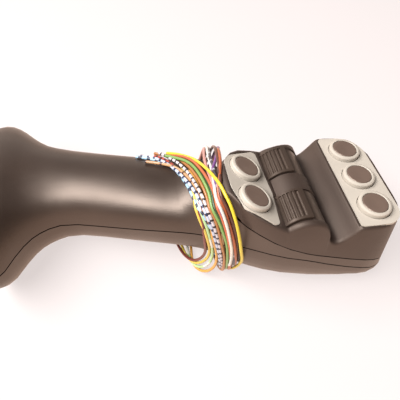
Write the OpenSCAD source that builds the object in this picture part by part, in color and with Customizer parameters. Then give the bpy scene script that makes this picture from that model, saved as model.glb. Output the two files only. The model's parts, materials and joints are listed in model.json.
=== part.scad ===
// Hand grip of an industrial joystick, lying on its back: two thumb rollers and five
// pushbuttons in a skewed head, on a neck that ends in a flared hand rest.
// +X runs along the head away from the base, -Y is the near flank and z = 0 is the bench.

/* [Body] */
// Where the base end of the shells stands
base_x = -106; // [-112:1:-105]
// Where the head ends
head_x = 84.8; // [84:0.2:88]
// Wall of the two shells and the cover
wall = 2.5; // [2:0.1:3]
// Neck half width, square to the head
neck_half = 20.5; // [19:0.5:22]
// Sideways run of the neck for each millimetre along X
neck_skew = -0.329; // [-0.36:0.005:-0.3]
// Height of the top of the neck
neck_top = 46; // [44:0.5:48]
// Height of the underside of the neck
neck_under = 8.5; // [8:0.5:10]
// Gap along the two parting lines
seam_gap = 0.25; // [0.1:0.05:0.3]

/* [Head] */
// Slope of the left button deck, degrees
left_tilt = 27; // [24:0.5:29]
// Slope of the right button deck, degrees
right_tilt = 4; // [2:0.5:6]
// Thickness of the two trim plates
plate_t = 1.2; // [0.8:0.1:1.6]
// Radius of the ridge that carries the rollers
hump_r = 10.2; // [9.8:0.1:10.6]
// Height of the roller axis
hump_z = 43.2; // [42.5:0.1:44]
// Radius of the edges round the top of the cover
edge_r = 1.8; // [1:0.2:2.4]

/* [Buttons] */
// Distance between neighbouring buttons
button_pitch = 16.75; // [16:0.25:18]
// Radius of a button cap
cap_r = 5.45; // [5:0.05:5.6]
// Radius of the bezel flange
bezel_r = 7.06; // [6.9:0.02:7.2]
// Height of the bezel over its trim plate
bezel_h = 2.4; // [2:0.1:3]
// Radius of the bezel where it passes through the cover
barrel_r = 5.9; // [5.7:0.1:6]
// Travel of a button
button_travel = 1.2; // [0.8:0.1:1.5]
// Radial clearance of a cap and its plunger
slide_fit = 0.1; // [0.05:0.01:0.1]

/* [Rollers] */
// Radius of a thumb roller over its ribs
roller_r = 11.2; // [11:0.1:11.4]
// Width of a thumb roller
roller_w = 15.6; // [15:0.1:15.8]
// Radius of a roller axle
axle_r = 1.5; // [1.2:0.1:1.8]
// Radial clearance between a roller and its axle
roller_fit = 0.05; // [0.02:0.01:0.1]

/* [Base] */
// Radius of the joystick shaft that the sleeve takes
shaft_r = 6; // [5:0.5:6.5]
// Radius of the sleeve inside the shells
sleeve_r = 9; // [8.5:0.5:10]
// Radius of the clamp collar outside the shells
collar_r = 12.5; // [12:0.5:14]
// Length of the clamp collar
collar_l = 13; // [12:1:16]
// Depth of the shaft bore from the collar face
bore_l = 44; // [36:1:52]

/* [Harness] */
// Radius of the bundle of loose leads
bundle_r = 4.4; // [4:0.1:4.6]

/* [Hidden] */
$fn = 48;
eps = 0.01;

// Outer reach of the grip: the collar's face along X, the two flanks across.
collar_face = base_x - 0.3 - collar_l;
flare_x = base_x + 12;
near_reach = -38.9;
far_reach = 66;
// The middle of that box goes to the origin.
datum = [-(collar_face + head_x) / 2, -(near_reach + far_reach) / 2, 0];

// Outlines along X as [x, value]: plan widths at the parting line and at the top of the head.
function neck_y(x) = neck_skew * x;
near_low = [
    [base_x, -6], [base_x + 3, -16], [base_x + 7, -21.8], [flare_x, -24], [base_x + 17, -21.8],
    [base_x + 22, -13.6], [base_x + 27, -7], [base_x + 33, -3], [base_x + 41, -0.9],
    [base_x + 50, neck_y(base_x + 50) - neck_half], [-28, neck_y(-28) - neck_half],
    [-8, neck_y(-8) - neck_half], [0, -21.4], [8, -26.8], [14, -30.2], [20, -32.8],
    [28, -35.4], [40, -37], [53, -38.2], [65, near_reach], [73, -38.3], [79, -35.6],
    [82.4, -31.4], [head_x, -22]];
far_low = [
    [base_x, 47], [base_x + 3, 58], [base_x + 7, 64], [flare_x, far_reach],
    [base_x + 18, 64.6], [base_x + 24, 59], [base_x + 30, 51.4], [base_x + 36, 45.6],
    [base_x + 44, 41.4], [base_x + 54, neck_y(base_x + 54) + neck_half],
    [-28, neck_y(-28) + neck_half],
    [0, neck_y(0) + neck_half], [8, 17.6], [16, 15.6], [26, 15.7], [38, 17.2], [50, 19.1],
    [60, 20], [68, 19.6], [75, 17.4], [80, 12.6], [83, 6.4], [head_x, -2]];
near_top = [
    [-12, neck_y(-12) - neck_half], [0, -20], [5, -20.4], [8, -23], [11, -26.8], [14, -30],
    [18, -33], [24, -35.8], [31, -37.1], [42, -37.4], [53, -38], [65, -38.4], [72, -37.8],
    [77, -35.2], [80, -31], [82, -23], [head_x, -20]];
far_top = [
    [-12, neck_y(-12) + neck_half], [0, 12], [5, -6], [8, -6.4], [11, -0.4], [15, 4.4],
    [20, 7.2], [28, 9], [38, 9.8], [45, 12], [52, 15.4], [60, 17.4], [69, 17.2], [74, 15.2],
    [78.6, 10.6], [81, 5], [head_x, -4]];
// Heights along X: the underside, the two parting lines and the crown that the walls lean to.
under = [
    [base_x, 8], [base_x + 3, 3.4], [base_x + 7, 0.8], [flare_x, 0], [base_x + 20, 0.9],
    [base_x + 30, 3.4], [base_x + 42, 6.6], [base_x + 56, neck_under], [-6, neck_under],
    [6, 7.6], [20, 4.6], [32, 2], [44, 0.4], [54, 0.1], [62, 0], [70, 0.2], [76, 1.4],
    [80, 3.2], [head_x, 7.5]];
crest = [
    [base_x, 38], [base_x + 3, 43.6], [base_x + 7, 48], [flare_x, 50.4], [base_x + 18, 50.2],
    [base_x + 26, 48.4], [base_x + 36, 46.8], [base_x + 48, neck_top], [-14, neck_top],
    [-6, neck_top + 0.6], [0, 49.6], [5, 53.5]];
back_seam = [
    [base_x, 23.5], [base_x + 18, 26.4], [base_x + 36, 28], [base_x + 56, 28.5], [-30, 30],
    [0, 32.6], [14, 33.2],
    [23, 32], [33, 29], [43, 25.8], [54, 21.2], [65, 17.4], [73, 14.2], [head_x, 10.5]];
cover_seam = [
    [5, 53.5], [8, 51.7], [11, 49.5], [19.5, 44.4], [29.4, 38], [40, 32], [51, 28.2],
    [62, 24.6], [72, 21], [head_x, 15]];
crown = [[-12, 46], [5, 60], [30, 54], [60, 47], [head_x, 45]];

// Smooth curve through a table, flat at both ends.
function span(t, x, i = 0) = i >= len(t) - 2 || x < t[i + 1][0] ? i : span(t, x, i + 1);
function slope(t, i) = i <= 0 || i >= len(t) - 1 ? 0
    : (t[i + 1][1] - t[i - 1][1]) / (t[i + 1][0] - t[i - 1][0]);
function curve(t, x) =
    let (i = span(t, x), h = t[i + 1][0] - t[i][0],
         u = max(0, min(1, (x - t[i][0]) / h)), v = 1 - u)
    v * v * (1 + 2 * u) * t[i][1] + u * u * (3 - 2 * u) * t[i + 1][1]
    + h * u * v * (v * slope(t, i) - u * slope(t, i + 1));
function mix(a, b, k) = a + (b - a) * max(0, min(1, k));

// Flanks of the body at any height, leaning in above the back seam.
function lean(x, z) =
    let (s = curve(back_seam, x)) x < -12 ? 0 : (z - s) / (curve(crown, x) - s);
function near(x, z) = mix(curve(near_low, x), curve(near_top, x), lean(x, z));
function far(x, z) = mix(curve(far_low, x), curve(far_top, x), lean(x, z));

// Half a section as points from the near flank to the far one: up = 1 or -1, inset by the wall.
sides = 16;
shut = 0.02;
function up_box(x) = max(0, min(1, (x + 8) / 15));
function half_section(x, up, inset, hollow) =
    let (s = curve(back_seam, x) + up * (up > 0 ? seam_gap : 0),
         top = up > 0 ? (x < 5 ? curve(crest, x) : curve(cover_seam, x)) : curve(under, x),
         depth = (abs(top - s) - inset) * hollow,
         box = up > 0 ? up_box(x) : 0,
         n = up > 0 ? 2.3 : mix(2.3, 2.7, (x - 5) / 40))
    [for (i = [0:sides])
        let (t = 180 * i / sides, c = -cos(t), d = sin(t),
             r = mix(pow(pow(abs(c), n) + pow(d, n), -1 / n), 1 / max(abs(c), d), box),
             z = s + up * depth * r * d,
             a = near(x, z) + inset, b = far(x, z) - inset)
        [x, (a + b) / 2 + (b - a) / 2 * r * c, z]];

// A thin-walled loft: each ring is the outer half section and the inner one, walked back.
function reversed(l) = [for (i = [len(l) - 1:-1:0]) l[i]];
function ring_faces(rings, n) = [
    for (j = [0:rings - 2], k = [0:n - 1])
        let (a = j * n + k, b = j * n + (k + 1) % n) each [[a, b, a + n], [b, b + n, a + n]]];
function cap_faces(start, n, turned) = [
    for (k = [0:n / 2 - 2])
        let (a = start + k, b = start + k + 1, c = start + n - 2 - k, d = start + n - 1 - k)
        each turned ? [[a, b, c], [a, c, d]] : [[a, c, b], [a, d, c]]];
module thin_loft(rings) {
    n = len(rings[0]);
    last = (len(rings) - 1) * n;
    polyhedron([for (r = rings) each r],
        concat(cap_faces(0, n, false), ring_faces(len(rings), n), cap_faces(last, n, true)));
}
module shell(up) {
    flare = [5, 8, 10, 12, 14.5, 18, 21.5, 25, 28.5, 32, 36, 41, 49];
    xs = [base_x, base_x + 1, base_x + wall, base_x + wall + eps, each [for (d = flare) base_x + d],
        -47, -37, -27, -17, -11, -6, -2, 2, 5, 8, 11, 14.5, 19, 25, 32, 40, 45, 50, 60, 68, 73,
        77, 80, head_x - wall - eps, head_x - wall, head_x - 1, head_x];
    rings = [for (x = xs)
        let (hollow = x > base_x + wall && x < head_x - wall ? 1 : shut,
             outer = half_section(x, up, 0, 1), inner = half_section(x, up, wall, hollow))
        concat(outer, reversed(inner))];
    if (up > 0) thin_loft(rings);
    else thin_loft([for (r = rings) reversed(r)]);
}

// Top of the cover along X: end round, left deck, roller hump, valley, right deck.
hump_x = 37.2;
left_x = 18;
left_z = 55.77;
right_x = 69.63;
right_z = 46.3;
end_r = 3.6;
end_x = 8.6;
function left_deck(x) = left_z - (x - left_x) * tan(left_tilt);
function right_deck(x) = right_z - (x - right_x) * tan(right_tilt);
function hump(x) = hump_z + sqrt(max(0, pow(hump_r, 2) - pow(x - hump_x, 2)));
valley = [
    [47.2, 45.2], [47.6, 42], [48.4, 39.9], [50, 38.5], [52, 38.5], [54, 39.7], [57, 43],
    [59.4, 46.2], [60.8, 46.9]];
head_end = [
    [80.8, 45.5], [82, 44.4], [head_x - 1.9, 41.4], [head_x - 1.2, 36], [head_x - 0.6, 29],
    [head_x, 19]];
function top(x) =
    x < end_x ? left_deck(end_x) - end_r + sqrt(max(0, pow(end_r, 2) - pow(x - end_x, 2)))
    : x < hump_x ? max(left_deck(x), hump(x))
    : x < valley[0][0] ? hump(x)
    : x < valley[8][0] ? curve(valley, x)
    : x < head_end[0][0] ? right_deck(x) : curve(head_end, x);
function under_top(x) = min(top(x - wall), top(x), top(x + wall)) - wall;

// Section of the cover: flanks, rounded top edges and a flat top.
cover_x = 5;
corner = 3;
function cover_section(x, inset, hollow) =
    let (z0 = curve(cover_seam, x) + seam_gap,
         zt = inset == 0 ? top(x) : hollow ? max(z0 + 0.5, under_top(x)) : z0 + 0.5,
         r = min(edge_r, 0.8 * (zt - z0)),
         a = near(x, zt) + inset, b = far(x, zt) - inset,
         arc = [for (i = [0:corner]) [1 - cos(90 * i / corner), sin(90 * i / corner)]])
    [[x, near(x, z0) + inset, z0],
     for (p = arc) [x, a + r * p[0], zt - r + r * p[1]],
     for (p = reversed(arc)) [x, b - r * p[0], zt - r + r * p[1]],
     [x, far(x, z0) - inset, z0]];
module cover_shell() {
    front = cover_x + wall;
    xs = [cover_x + 0.05, 5.4, 6.2, front - 0.1, front + 0.1, end_x, 11, 14, 18, 24, 27, 28.6,
        29.4, 30.2, 31.4, 33, 35, 37.2, 39.4, 41.4, 43.2, 44.8, 46, 46.8, 47.2, 47.6, 48.2, 49,
        50, 51, 52, 53, 54.4, 56, 57.6, 59, 60, 60.8, 64, 69, 73, 77, 79.6, 80.8,
        head_x - wall - 0.05, head_x - wall, head_x - 1.9, head_x - 1.4, head_x - 0.8,
        head_x - 0.4, head_x];
    rings = [for (x = xs)
        let (hollow = x > front && x < head_x - wall)
        concat(cover_section(x, 0, 1), reversed(cover_section(x, wall, hollow)))];
    thin_loft(rings);
}

// Places: every sub-part is drawn in the grip's own frame and moved to the datum at the end.
module placed() translate(datum) children();
module on_left() translate([left_x, 0, left_z]) rotate([0, left_tilt, 0]) children();
module on_right() translate([right_x, 0, right_z]) rotate([0, right_tilt, 0]) children();
left_y = [-6, -6 - button_pitch];
right_y = [6.25, 6.25 - button_pitch, 6.25 - 2 * button_pitch];
roller_y = [-0.8, -26.4];
module along_y(y) translate([hump_x, y, hump_z]) rotate([90, 0, 0]) children();

// Outlines of the two trim plates on their decks, grown by g.
module left_outline(g = 0) {
    hull() {
        translate([-0.6, -6.5]) circle(r = 9.1 + g, $fn = 32);
        translate([0.5, -17]) circle(r = 10.3 + g, $fn = 32);
        translate([0, left_y[1]]) circle(r = plate_hole_r + 0.5 + g, $fn = 32);
        translate([6.8, -32.2]) circle(r = 2.2 + g, $fn = 32);
        translate([8, -32.6]) circle(r = 1.2 + g, $fn = 32);
        translate([7.4, 5.2]) circle(r = 1.8 + g, $fn = 32);
    }
}
right_edge = -9.5;
module right_outline(g = 0) {
    intersection() {
        hull() {
            translate([right_edge + 1.5, 14.5]) circle(r = 1.5 + g, $fn = 32);
            translate([right_edge + 1.5, -35.7]) circle(r = 1.5 + g, $fn = 32);
            translate([-1.5, 4]) circle(r = 11.8 + g, $fn = 32);
            translate([1.7, -28.5]) circle(r = 8.7 + g, $fn = 32);
        }
        translate([right_edge - g, -60]) square([40, 100]);
    }
}
plate_gap = 0.2;
plate_hole_r = bezel_r + 0.25;
barrel_hole_r = barrel_r + 0.2;
module bored_plate(ys) {
    difference() {
        translate([0, 0, plate_gap - plate_t]) linear_extrude(plate_t) children();
        for (y = ys) translate([0, y, -5]) cylinder(r = plate_hole_r, h = 10);
    }
}

// Screws through the back shell: [x, y] in the head, and [x, y, top of boss] in the grip.
head_bosses = [[22.4, -14.3], [76.2, -29.2], [76, 8]];
grip_bosses = [[-30, 9.9], [base_x + 30, 7.6], [base_x + 30, 38.6]];
boss_r = 2.4;
sunk = 0.9;
foot_r = 3.6;
screw_r = 1.2;
pilot_r = screw_r + 0.03;
screw_head_r = 2.6;
head_split = 24;
seat_z = 12;
frame_bosses = [[30.6, -13.6, 40], [43, -13.6, 37.5], [51.6, -29, 33], [51.6, 3, 33]];
board = [30, -27.5, 74, 5.5, 14];
board_t = 1.6;
board_holes = [[33.5, -24], [33.5, 2], [68, -24], [68, 2]];
sleeve_y = 21;
sleeve_z = 26;
grommet_y = 41;
grommet_z = 24;
grommet_r = bundle_r + 1.4;
// Outer surface of the shells straight above or below a point.
function bulge(x, y, n) =
    let (s = curve(back_seam, x), a = near(x, s), b = far(x, s))
    pow(1 - pow(min(0.99, abs(2 * y - a - b) / (b - a)), n), 1 / n);
function roof(x, y) = mix(curve(back_seam, x), curve(crest, x), bulge(x, y, 2.3));
function floor_z(x, y) = mix(curve(back_seam, x), curve(under, x), bulge(x, y, x < 5 ? 2.3 : 2.6));
function boss_top(x, y, r) = min(roof(x, y - r), roof(x, y + r)) - sunk;
function boss_foot(x, y, r) = max(floor_z(x, y - r), floor_z(x, y + r)) + sunk;
module along_x(x, y, z) translate([x, y, z]) rotate([0, 90, 0]) children();

saddle_x = [base_x + 9, base_x + 36];
saddle_t = 3;
saddle_w = 24;
module back_boss(p, h) {
    z = boss_foot(p[0], p[1], foot_r);
    translate([p[0], p[1], z]) cylinder(r = foot_r, h = seat_z - z);
    translate([p[0], p[1], seat_z - 1]) cylinder(r = boss_r + 0.4, h = h - seat_z + 1);
}
module back_shell() {
    color([0.30, 0.26, 0.24]) placed() difference() {
        union() {
            shell(-1);
            for (p = head_bosses) back_boss(p, head_split);
            for (p = grip_bosses) back_boss(p, curve(back_seam, p[0]) - 0.4);
            for (p = board_holes) let (z = boss_foot(p[0], p[1], 2.6))
                translate([p[0], p[1], z]) cylinder(r = 2.6, h = board[4] - z);
            for (x = saddle_x) let (z = boss_foot(x + saddle_t, sleeve_y, saddle_w / 2))
                translate([x, sleeve_y - saddle_w / 2, z])
                    cube([saddle_t, saddle_w, curve(back_seam, x) - 0.4 - z]);
            translate([pin_x, sleeve_y, pin_foot - 1]) cylinder(r = 3.4, h = 10);
        }
        for (p = concat(head_bosses, grip_bosses)) {
            translate([p[0], p[1], -5]) cylinder(r = screw_r + 0.3, h = 60);
            translate([p[0], p[1], -5]) cylinder(r = screw_head_r + 0.2, h = seat_z - 2 + 5);
        }
        for (p = board_holes) translate([p[0], p[1], 6]) cylinder(r = 0.9, h = 20);
        along_x(base_x - 5, sleeve_y, sleeve_z) cylinder(r = sleeve_r + 0.05, h = 60);
        along_x(base_x - 5, grommet_y, grommet_z) cylinder(r = grommet_r, h = 12);
        translate([pin_x, sleeve_y, pin_foot - 0.05]) cylinder(r = pin_r + 0.02, h = 20);
    }
}
module front_shell() {
    deck_xs = [8, 14, each [18:5:73], 77.5, 80, 82];
    color([0.33, 0.29, 0.27]) placed() difference() {
        union() {
            shell(1);
            for (p = grip_bosses) let (z = curve(back_seam, p[0]) + 0.4)
                translate([p[0], p[1], z])
                    cylinder(r = boss_r + 0.4, h = boss_top(p[0], p[1], boss_r + 0.4) - z);
            for (x = saddle_x) let (z = curve(back_seam, x) + 0.4)
                translate([x, sleeve_y - saddle_w / 2, z])
                    cube([saddle_t, saddle_w, boss_top(x + saddle_t, sleeve_y, saddle_w / 2) - z]);
        }
        on_left() translate([-switch_w / 2 - 0.3, left_y[1] - switch_w / 2 - 0.2, switch_z - lead_h - 0.4])
            cube([switch_w + 0.6, switch_w + 0.4, lead_h + 7]);
        translate([0, 0, 2]) linear_extrude(60) polygon(concat(
            [for (x = deck_xs) [x, near(x, curve(cover_seam, x)) + wall]],
            [for (x = reversed(deck_xs)) [x, far(x, curve(cover_seam, x)) - wall]]));
        for (p = grip_bosses)
            translate([p[0], p[1], 20]) cylinder(r = pilot_r, h = boss_top(p[0], p[1], boss_r) - 21.5);
        along_x(base_x - 5, sleeve_y, sleeve_z) cylinder(r = sleeve_r + 0.05, h = 60);
        along_x(base_x - 5, grommet_y, grommet_z) cylinder(r = grommet_r, h = 12);
    }
}
module head_cover() {
    color([0.35, 0.31, 0.29]) placed() difference() {
        union() {
            cover_shell();
            for (p = head_bosses)
                translate([p[0], p[1], head_split + 0.1])
                    cylinder(r = boss_r, h = top(p[0] + boss_r) - 1.4 - head_split);
            for (p = frame_bosses)
                translate([p[0], p[1], p[2]])
                    cylinder(r = 2.4, h = top(p[0] - (p[0] < hump_x ? 2.4 : 0)) - 1.4 - p[2]);
        }
        on_left() translate([0, 0, plate_gap - plate_t - 0.02]) linear_extrude(6) left_outline(0.15);
        on_right() translate([0, 0, plate_gap - plate_t - 0.02]) linear_extrude(6) right_outline(0.15);
        on_left() for (y = left_y) translate([0, y, -9]) cylinder(r = barrel_hole_r, h = 12);
        on_right() for (y = right_y) translate([0, y, -9]) cylinder(r = barrel_hole_r, h = 12);
        for (y = roller_y) along_y(y) cylinder(r = roller_r + 0.45, h = roller_w + 0.8, center = true);
        for (p = head_bosses) translate([p[0], p[1], 20]) cylinder(r = pilot_r, h = 18);
        for (p = frame_bosses) translate([p[0], p[1], p[2] - 1]) cylinder(r = 0.93, h = 4.6);
    }
}
module left_plate() {
    color([0.84, 0.82, 0.77]) placed() on_left() bored_plate(left_y) left_outline();
}
module right_plate() {
    color([0.84, 0.82, 0.77]) placed() on_right() bored_plate(right_y) right_outline();
}

// Pushbutton, drawn with its trim plate at z = 0.
neck_r = 4.4;
neck_z = -3;
barrel_z = -8.4;
pocket_z = -0.9;
plunger_r = 2.2;
skirt_z = pocket_z + button_travel + 0.05;
plunger_z = barrel_z - 0.3;
switch_z = -13.4;
lead_h = 3;
dome_z = plunger_z - button_travel - 1;
nut_z = -plate_t - wall - 2.1;
flange_z = plate_gap - plate_t;
module bezel() {
    pocket_r = cap_r + slide_fit;
    color([0.80, 0.77, 0.68]) rotate_extrude($fn = 64) polygon([
        [plunger_r + slide_fit, barrel_z], [neck_r, barrel_z], [neck_r, neck_z],
        [barrel_r, neck_z], [barrel_r, flange_z],
        [bezel_r, flange_z], [bezel_r, bezel_h - 0.7], [bezel_r - 0.2, bezel_h - 0.3],
        [bezel_r - 0.6, bezel_h - 0.1], [bezel_r - 0.9, bezel_h], [pocket_r + 0.15, bezel_h],
        [pocket_r, bezel_h - 0.15], [pocket_r, pocket_z], [plunger_r + slide_fit, pocket_z]]);
}
module cap() {
    color([0.29, 0.25, 0.24]) rotate_extrude($fn = 64) polygon([
        [0, plunger_z], [plunger_r, plunger_z], [plunger_r, skirt_z], [cap_r, skirt_z],
        [cap_r, bezel_h - 0.3], [cap_r - 0.3, bezel_h], [cap_r - 1.2, bezel_h], [0, bezel_h - 0.25]]);
}
module nut() {
    color([0.62, 0.62, 0.60]) translate([0, 0, nut_z]) difference() {
        cylinder(r = 6.2, h = 1.6, $fn = 6);
        translate([0, 0, -1]) cylinder(r = neck_r + 0.02, h = 4);
    }
}
switch_w = 6.4;
module switch_body() {
    color([0.13, 0.13, 0.14]) difference() {
        translate([-switch_w / 2, -switch_w / 2, switch_z])
            cube([switch_w, switch_w, barrel_z - 0.03 - switch_z]);
        translate([0, 0, dome_z]) cylinder(r = 2.8, h = 5);
    }
}
module snap_dome() {
    color([0.78, 0.76, 0.70]) translate([0, 0, dome_z]) rotate_extrude($fn = 40) polygon([
        [0, 0.6], [1.3, 0.5], [2.2, 0.2], [2.7, 0.02], [2.7, 0.22], [2.2, 0.45], [1.3, 0.8], [0, 0.9]]);
}
module switch_lead_pair() {
    color([0.72, 0.60, 0.32])
        for (u = [-2, 2]) translate([u - 0.4, -0.2, switch_z - lead_h]) cube([0.8, 0.4, lead_h - 0.02]);
}
module at_button(side, i) {
    placed() {
        if (side == 0) on_left() translate([0, left_y[i], 0]) children();
        else on_right() translate([0, right_y[i], 0]) children();
    }
}
module at_buttons() {
    for (i = [0, 1]) at_button(0, i) children();
    for (i = [0:2]) at_button(1, i) children();
}
module bezel_left_1() { at_button(0, 0) bezel(); }
module bezel_left_2() { at_button(0, 1) bezel(); }
module bezel_right_1() { at_button(1, 0) bezel(); }
module bezel_right_2() { at_button(1, 1) bezel(); }
module bezel_right_3() { at_button(1, 2) bezel(); }
module cap_left_1() { at_button(0, 0) cap(); }
module cap_left_2() { at_button(0, 1) cap(); }
module cap_right_1() { at_button(1, 0) cap(); }
module cap_right_2() { at_button(1, 1) cap(); }
module cap_right_3() { at_button(1, 2) cap(); }
module bezel_nuts() { at_buttons() nut(); }
module switch_bodies() { at_buttons() switch_body(); }
module snap_domes() { at_buttons() snap_dome(); }
module switch_leads() { at_buttons() switch_lead_pair(); }

// Thumb roller: a ribbed skin on a web and a hub, open to both ends for the frame's arms.
// Angles run from straight up towards +X.
skin_r = 8.6;
low_r = 9.7;
step_a = 12;
skin_a = 78;
rib_a = [-60, -50.5, -41, -31.5, -22, -12.5];
edge_a = -3;
rim_w = 1.2;
magnet_v = -6.2;
function polar(r, a) = [r * sin(a), r * cos(a)];
module wedge(a0, a1, r) {
    polygon(concat([[0, 0]], [for (i = [0:8]) polar(r, a0 + (a1 - a0) * i / 8)]));
}
module skin_outline() {
    difference() {
        union() {
            intersection() { circle(r = roller_r); wedge(-skin_a, step_a, 2 * roller_r); }
            intersection() { circle(r = low_r); wedge(step_a - 4, skin_a, 2 * roller_r); }
        }
        circle(r = skin_r);
    }
}
module skin_grooves() {
    for (a = rib_a) translate(polar(roller_r + 0.2, a)) circle(r = 0.7, $fn = 24);
    translate(polar(roller_r + 0.1, edge_a)) circle(r = 0.9, $fn = 24);
}
module roller() {
    color([0.20, 0.18, 0.17]) difference() {
        union() {
            difference() {
                linear_extrude(roller_w, center = true) skin_outline();
                linear_extrude(roller_w - 2 * rim_w, center = true) skin_grooves();
            }
            linear_extrude(3, center = true) intersection() {
                circle(r = skin_r + 0.3);
                union() { wedge(-skin_a, skin_a, 30); translate([-4.5, -9]) square([9, 12]); }
            }
            cylinder(r = 3.4, h = 6.6, center = true);
        }
        cylinder(r = axle_r + roller_fit, h = 20, center = true);
        translate([0, magnet_v, 0]) cylinder(r = 1.6, h = 20, center = true);
    }
}
module magnet() {
    color([0.70, 0.71, 0.73]) translate([0, magnet_v, 0]) cylinder(r = 1.6, h = 3, center = true);
}
module axle() {
    color([0.76, 0.76, 0.78]) cylinder(r = axle_r, h = 13, center = true);
}
module spring() {
    color([0.66, 0.66, 0.68]) {
        for (k = [0:2]) translate([0, 0, 1.95 + 0.5 * k])
            rotate_extrude($fn = 40) translate([3.8, 0]) circle(r = 0.28, $fn = 16);
        translate([3.8, 0, 1.95]) rotate([90, 0, 0]) cylinder(r = 0.28, h = hump_z - frame_z - 2);
    }
}
frame_z = 28.7;
arm_t = 2.4;
arm_y = 3.7;
module roller_upper() { placed() along_y(roller_y[0]) roller(); }
module roller_lower() { placed() along_y(roller_y[1]) roller(); }
module roller_magnets_upper() { placed() along_y(roller_y[0]) magnet(); }
module roller_magnets_lower() { placed() along_y(roller_y[1]) magnet(); }
module roller_axles() { placed() for (y = roller_y) along_y(y) axle(); }
module roller_springs() { placed() for (y = roller_y) along_y(y) spring(); }
module roller_frame() {
    color([0.16, 0.16, 0.17]) placed() difference() {
        union() {
            translate([28.2, -32.2, frame_z]) cube([25.8, 38.6, 2]);
            for (y = roller_y, s = [-1, 1]) along_y(y + s * (arm_y + arm_t / 2)) {
                cylinder(r = 4.2, h = arm_t, center = true);
                translate([-4.2, frame_z - hump_z + 1, -arm_t / 2])
                    cube([8.4, hump_z - frame_z - 1, arm_t]);
            }
            for (p = frame_bosses)
                translate([p[0], p[1], frame_z]) cylinder(r = 2.4, h = p[2] - frame_z - 0.05);
        }
        for (y = roller_y) along_y(y) cylinder(r = axle_r + 0.01, h = 16, center = true);
        for (p = frame_bosses) translate([p[0], p[1], frame_z - 1]) cylinder(r = 1.1, h = 20);
    }
}
module frame_screws() {
    color([0.70, 0.70, 0.70]) placed() for (p = frame_bosses) {
        translate([p[0], p[1], frame_z - 1.25]) cylinder(r = 1.9, h = 1.2);
        translate([p[0], p[1], frame_z - 0.1]) cylinder(r = 0.9, h = p[2] + 3 - frame_z);
    }
}
module hall_sensors() {
    color([0.10, 0.10, 0.11]) placed()
        for (y = roller_y) translate([hump_x - 2, y - 1.5, frame_z + 2.02]) cube([4, 3, 1.5]);
}

// Control board under the rollers, on posts of the back shell.
module control_board() {
    color([0.10, 0.34, 0.20]) placed() difference() {
        translate([board[0], board[1], board[4]])
            cube([board[2] - board[0], board[3] - board[1], board_t]);
        for (p = board_holes) translate([p[0], p[1], 0]) cylinder(r = 1.3, h = 40);
    }
}
module board_parts() {
    chips = [[38, -20, 7, 7, 1.2], [50, -22, 10, 6, 1.5], [49, -8, 5, 8, 1.6], [59, -12, 4, 4, 3],
        [38, -6, 3, 6, 1.2], [62, -3, 3, 5, 1.6]];
    color([0.12, 0.12, 0.13]) placed() for (c = chips)
        translate([c[0], c[1], board[4] + board_t + 0.01]) cube([c[2], c[3], c[4]]);
}
module board_socket() {
    color([0.90, 0.88, 0.80]) placed() difference() {
        translate([31, -18, board[4] + board_t + 0.01]) cube([5.5, 15, 6]);
        translate([30, -16.8, board[4] + board_t + 1.4]) cube([5.3, 12.6, 3.4]);
    }
}
module board_screws() {
    color([0.70, 0.70, 0.70]) placed() for (p = board_holes) {
        translate([p[0], p[1], board[4] + board_t + 0.01]) cylinder(r = 2, h = 1.3);
        translate([p[0], p[1], board[4] - 5]) cylinder(r = 0.88, h = 5 + board_t + 0.1);
    }
}

// Pan-head screws that hold the shells and the cover together from the back.
module shell_screw(p, l) {
    translate([p[0], p[1], seat_z - 4.1]) difference() {
        cylinder(r = screw_head_r, h = 2.05);
        translate([0, 0, -1]) cylinder(r = 1.3, h = 2.2, $fn = 6);
    }
    translate([p[0], p[1], seat_z - 2.1]) cylinder(r = screw_r, h = l);
}
module shell_screws() {
    color([0.62, 0.62, 0.63]) placed() for (p = grip_bosses) shell_screw(p, 26);
}
module head_screws() {
    color([0.62, 0.62, 0.63]) placed() for (p = head_bosses) shell_screw(p, 26);
}

// Metal sleeve that takes the joystick shaft, with its clamp collar outside the shells.
set_x = collar_face + collar_l / 2;
set_r = 2.5;
pin_x = base_x + 14;
pin_r = 1.48;
pin_top = sleeve_z - shaft_r - 1;
pin_foot = curve(under, pin_x) + wall - 0.4;
module mount_sleeve() {
    color([0.68, 0.68, 0.70]) placed() difference() {
        union() {
            along_x(collar_face, sleeve_y, sleeve_z) cylinder(r = collar_r, h = collar_l, $fn = 64);
            along_x(collar_face + 1, sleeve_y, sleeve_z) cylinder(r = sleeve_r, h = collar_l + 42);
        }
        along_x(collar_face - 1, sleeve_y, sleeve_z) cylinder(r = shaft_r, h = bore_l + 1, $fn = 64);
        translate([set_x, sleeve_y, sleeve_z]) cylinder(r = set_r + 0.01, h = 20);
        translate([set_x, sleeve_y, sleeve_z]) rotate([90, 0, 0]) cylinder(r = set_r + 0.01, h = 20);
        translate([pin_x, sleeve_y, 0]) cylinder(r = pin_r + 0.02, h = pin_top + 0.1);
    }
}
module set_screw() {
    difference() {
        cylinder(r = set_r, h = collar_r - shaft_r - 0.6);
        translate([0, 0, 2.6]) cylinder(r = 1.3, h = 10, $fn = 6);
    }
}
module set_screws() {
    color([0.20, 0.20, 0.21]) placed() translate([set_x, sleeve_y, sleeve_z]) {
        translate([0, 0, shaft_r + 0.2]) set_screw();
        rotate([90, 0, 0]) translate([0, 0, shaft_r + 0.2]) set_screw();
    }
}
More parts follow.
